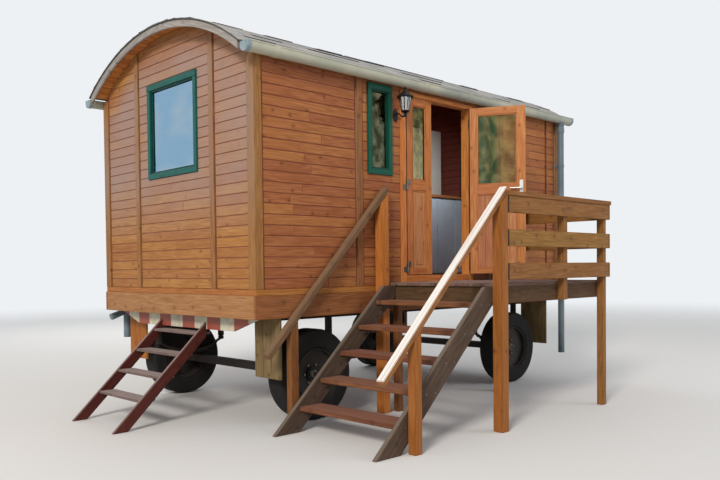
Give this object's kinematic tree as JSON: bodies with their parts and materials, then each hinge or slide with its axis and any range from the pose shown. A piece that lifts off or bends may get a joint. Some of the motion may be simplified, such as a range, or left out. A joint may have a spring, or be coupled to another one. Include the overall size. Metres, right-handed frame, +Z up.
{
  "type": "circus wagon",
  "caption": "Timber circus living wagon with a barrel roof, two-leaf door, side deck with stairs and a wheeled chassis.",
  "frame": {"origin": "on the ground, under the middle of the whole object's box", "axes": "+Z up from the ground, +X along the wagon away from its window end, -Y out of the door wall"},
  "size_m": [5.974, 4.49, 3.8783],
  "materials": {
    "stained_pine_cladding": "satin",
    "brown_floor_boards": "satin",
    "dark_framing_timber": "matte",
    "grey_bitumen_shingles": "matte",
    "light_pine_trim": "satin",
    "weathered_verge_boards": "matte",
    "skirt_pine": "satin",
    "green_painted_wood": "gloss",
    "window_glass": "gloss",
    "door_pine_panel": "satin",
    "stained_door_pine": "satin",
    "dull_steel": "satin",
    "brushed_handle_steel": "satin",
    "zinc_sheet": "satin",
    "black_iron": "satin",
    "lantern_glass": "gloss",
    "orange_stained_timber": "satin",
    "weathered_deck_boards": "matte",
    "weathered_grey_timber": "matte",
    "red_brown_treads": "matte",
    "olive_tan_boards": "satin",
    "dark_chassis_paint": "satin",
    "striped_bar_paint": "satin",
    "tyre_rubber": "matte",
    "dark_rim_paint": "satin",
    "maroon_painted_wood": "satin",
    "grey_blue_cabinet_paint": "satin",
    "pale_cupboard_paint": "satin"
  },
  "bodies": {
    "wagon": {"door_wall_window_side": "stained_pine_cladding", "door_wall_far_side": "stained_pine_cladding", "door_wall_over_door": "stained_pine_cladding", "back_wall": "stained_pine_cladding", "window_end_wall": "stained_pine_cladding", "far_end_wall": "stained_pine_cladding", "floor": "brown_floor_boards", "floor_frame": "dark_framing_timber", "roof_boards": "dark_framing_timber", "roof_shingles": "grey_bitumen_shingles", "verge_boards": "weathered_verge_boards", "wall_trims": "light_pine_trim", "sill_strip": "light_pine_trim", "skirt_boards": "skirt_pine", "narrow_window_frames": "green_painted_wood", "end_window_frames": "green_painted_wood", "window_panes": "window_glass", "door_frame": "stained_door_pine", "frame_hinges": "dull_steel", "gutters": "zinc_sheet", "downpipes": "zinc_sheet", "lantern_body": "black_iron", "lantern_glass": "lantern_glass", "deck_frame": "orange_stained_timber", "deck_boards": "weathered_deck_boards", "stair_stringers": "weathered_grey_timber", "stair_treads": "red_brown_treads", "stair_posts": "orange_stained_timber", "handrails": "weathered_grey_timber", "deck_posts": "orange_stained_timber", "railing_boards": "olive_tan_boards", "railing_cap": "olive_tan_boards", "chassis_frame": "dark_chassis_paint", "warning_bar": "striped_bar_paint", "axles": "dark_chassis_paint", "leaf_springs": "dark_chassis_paint", "tyres": "tyre_rubber", "wheel_rims": "dark_rim_paint", "mudguard_boards": "weathered_grey_timber", "portable_step_sides": "maroon_painted_wood", "portable_step_treads": "weathered_grey_timber", "counter": "grey_blue_cabinet_paint", "cupboard": "pale_cupboard_paint"},
    "left_leaf": {"left_leaf_frame": "stained_door_pine", "left_leaf_panel": "door_pine_panel", "left_leaf_glass": "window_glass", "left_leaf_hinges": "dull_steel"},
    "right_leaf": {"right_leaf_frame": "stained_door_pine", "right_leaf_panel": "door_pine_panel", "right_leaf_glass": "window_glass", "right_leaf_hinges": "dull_steel", "door_handle": "brushed_handle_steel"}
  },
  "joints": [
    {"name": "left_leaf_hinge", "type": "hinge", "parent": "wagon", "child": "left_leaf", "pos_m": [-0.1565, -0.772, 1.385], "axis": [0, 0, 1], "range_deg": [-90, 0]},
    {"name": "right_leaf_hinge", "type": "hinge", "parent": "wagon", "child": "right_leaf", "pos_m": [0.8885, -0.772, 1.385], "axis": [0, 0, 1], "range_deg": [-120, 5]}
  ]
}
